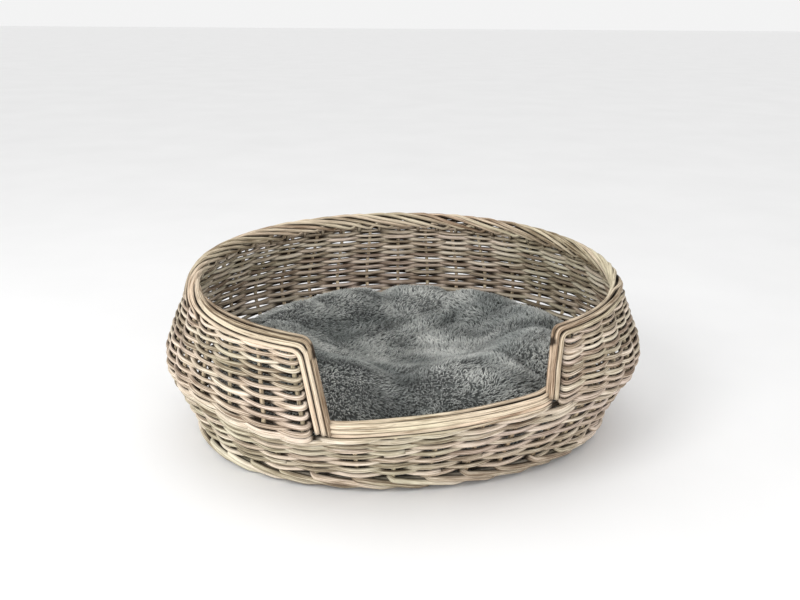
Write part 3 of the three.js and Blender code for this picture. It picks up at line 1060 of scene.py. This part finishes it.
def finish_cushion():
    tone = cushion.data.attributes.new("tone", "FLOAT_COLOR", "POINT")
    tone.data.foreach_set("color", np.tile(COVER_TONE, len(cushion.data.vertices)))
    cushion.data.materials.append(plush_material)
    cushion.data.polygons.foreach_set("use_smooth", np.ones(len(cushion.data.polygons), bool))
    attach(cushion, "cushion")
    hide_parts("cushion_cover", "cushion_filling")


finish_cushion()

TUFTS = 72000
TUFTS_A_PIECE = 18000
TUFT_RADIUS = 1.15
BARE_BELOW = 29                    # no tufts under the cushion
# A tuft is a three-sided blade: three corners at the root, three half way up, and the tip.
TUFT_FACES = np.array([[0, 1, 4, 3], [1, 2, 5, 4], [2, 0, 3, 5], [3, 4, 6, 6], [4, 5, 6, 6], [5, 3, 6, 6]])
TUFT_HEIGHTS = np.array([0, 0, 0, 0.55, 0.55, 0.55, 1.0])
CREASE_SHADE = (0.035, 14)         # how much darker for each unit of depth, and the depth where it ends


def cushion_triangles():
    mesh = cushion.data
    mesh.calc_loop_triangles()
    index = np.empty(len(mesh.loop_triangles) * 3, int)
    mesh.loop_triangles.foreach_get("vertices", index)
    corners = points_of(cushion)[index.reshape(-1, 3)] / MM
    cross = np.cross(corners[:, 1] - corners[:, 0], corners[:, 2] - corners[:, 0])
    area = np.linalg.norm(cross, axis=1)
    return corners, cross / area[:, None], area


def grow_pile():
    """Short tufts over the top and sides: each a leaning, tapered blade, with painted shade darkening it
    towards the root.
    """
    corners, normals, area = cushion_triangles()
    area = np.where(corners[:, :, 2].mean(1) < BARE_BELOW, 0, area)
    pick = rng.choice(len(area), TUFTS, p=area / area.sum())
    a, b = np.sqrt(rng.random(TUFTS)), rng.random(TUFTS)
    weights = np.stack([1 - a, a * (1 - b), a * b], -1)
    root = (corners[pick] * weights[..., None]).sum(1)
    normal = normals[pick]
    clump = np.sin(root[:, 0] / 17 + 2 * np.sin(root[:, 1] / 23)) * np.cos(root[:, 1] / 19 + root[:, 2] / 13)
    heading = clump * 1.4 + root[:, 0] / 90
    lay = np.stack([np.cos(heading), np.sin(heading), np.full(TUFTS, -0.9)], -1)
    lay += rng.normal(0, 0.45, lay.shape)
    lay -= normal * (lay * normal).sum(1)[:, None]
    lay /= np.linalg.norm(lay, axis=1)[:, None]
    length = PILE_LENGTH * rng.uniform(0.75, 1.15, TUFTS)[:, None]
    side = np.cross(normal, lay)
    middle = root + (normal * 0.55 + lay * 0.2) * length
    tip = root + (normal * 0.85 + lay * 0.62) * length
    radius = TUFT_RADIUS * rng.uniform(0.7, 1.2, TUFTS)[:, None]
    turn = np.array([0, 2, 4]) * math.pi / 3
    ring = [np.cos(t) * side + np.sin(t) * lay for t in turn]
    low = [root - normal + way * radius for way in ring]
    high = [middle + way * radius * 0.75 for way in ring]
    verts = np.stack([*low, *high, tip], 1)
    shade, deepest = CREASE_SHADE
    light = 0.55 + 0.3 * clump + rng.normal(0, 0.25, TUFTS) - shade * np.minimum(dent_at(root), deepest)
    light = np.clip(light, 0, 1)
    for number, first in enumerate(range(0, TUFTS, TUFTS_A_PIECE)):
        part = slice(first, first + TUFTS_A_PIECE)
        count = len(verts[part])
        mesh = bpy.data.meshes.new("pile")
        quads = (TUFT_FACES[None] + 7 * np.arange(count)[:, None, None]).reshape(-1, 4).tolist()
        faces = [quad if quad[2] != quad[3] else quad[:3] for quad in quads]
        mesh.from_pydata((verts[part].reshape(-1, 3) * MM).tolist(), [], faces)
        tone = mesh.attributes.new("tone", "FLOAT_COLOR", "POINT")
        colour = np.zeros((count, 7, 4))
        colour[..., 0] = light[part][:, None]
        colour[..., 1] = TUFT_HEIGHTS
        colour[..., 3] = 1
        tone.data.foreach_set("color", colour.ravel())
        mesh.polygons.foreach_set("use_smooth", np.ones(len(mesh.polygons), bool))
        mesh.materials.append(plush_material)
        pile = bpy.data.objects.new(f"cushion_pile_{number + 1}", mesh)
        bpy.context.scene.collection.objects.link(pile)
        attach(pile, "cushion")


grow_pile()

# Room --------------------------------------------------------------------------------------------

FLOOR_HALF = 30                    # metres, as are the lights' places and sizes
WORLD_STRENGTH = 0.9
KEY_WATTS = 23
FILL_WATTS = 12
KEY_SIZE = 0.9
KEY_PLACE = (-1.45, -1.15, 1.6)
FILL_SIZE = 1.6
FILL_PLACE = (-0.3, -2.1, 0.45)
LIGHT_AIM = (0, 0, 0.1)


def make_floor():
    mesh = bpy.data.meshes.new("floor")
    half = FLOOR_HALF
    corners = [(-half, -half, 0), (half, -half, 0), (half, half, 0), (-half, half, 0)]
    mesh.from_pydata(corners, [], [(0, 1, 2, 3)])
    floor = bpy.data.objects.new("floor", mesh)
    bpy.context.scene.collection.objects.link(floor)
    m = Nodes("floor")
    place = m.node("ShaderNodeTexCoord").outputs["Object"]
    m.link(m.ramp(m.noise(place, 3.0), ((0.3, (0.88, 0.88, 0.88)), (0.7, (0.91, 0.91, 0.91)))),
           m.shader.inputs["Base Color"])
    m.shader.inputs["Roughness"].default_value = 0.7
    mesh.materials.append(m.material)


def make_light():
    world = bpy.data.worlds.new("world")
    world.use_nodes = True
    background = world.node_tree.nodes["Background"]
    background.inputs["Color"].default_value = (1, 1, 1, 1)
    background.inputs["Strength"].default_value = WORLD_STRENGTH
    bpy.context.scene.world = world
    for name, watts, size, place in (
        ("key", KEY_WATTS, KEY_SIZE, KEY_PLACE), ("fill", FILL_WATTS, FILL_SIZE, FILL_PLACE),
    ):
        light = bpy.data.lights.new(name, "AREA")
        light.energy = watts
        light.size = size
        lamp = bpy.data.objects.new(name, light)
        bpy.context.scene.collection.objects.link(lamp)
        lamp.location = place
        lamp.rotation_euler = (Vector(place) - Vector(LIGHT_AIM)).to_track_quat("Z", "Y").to_euler()


make_floor()
make_light()
bpy.context.scene.view_settings.view_transform = "Standard"
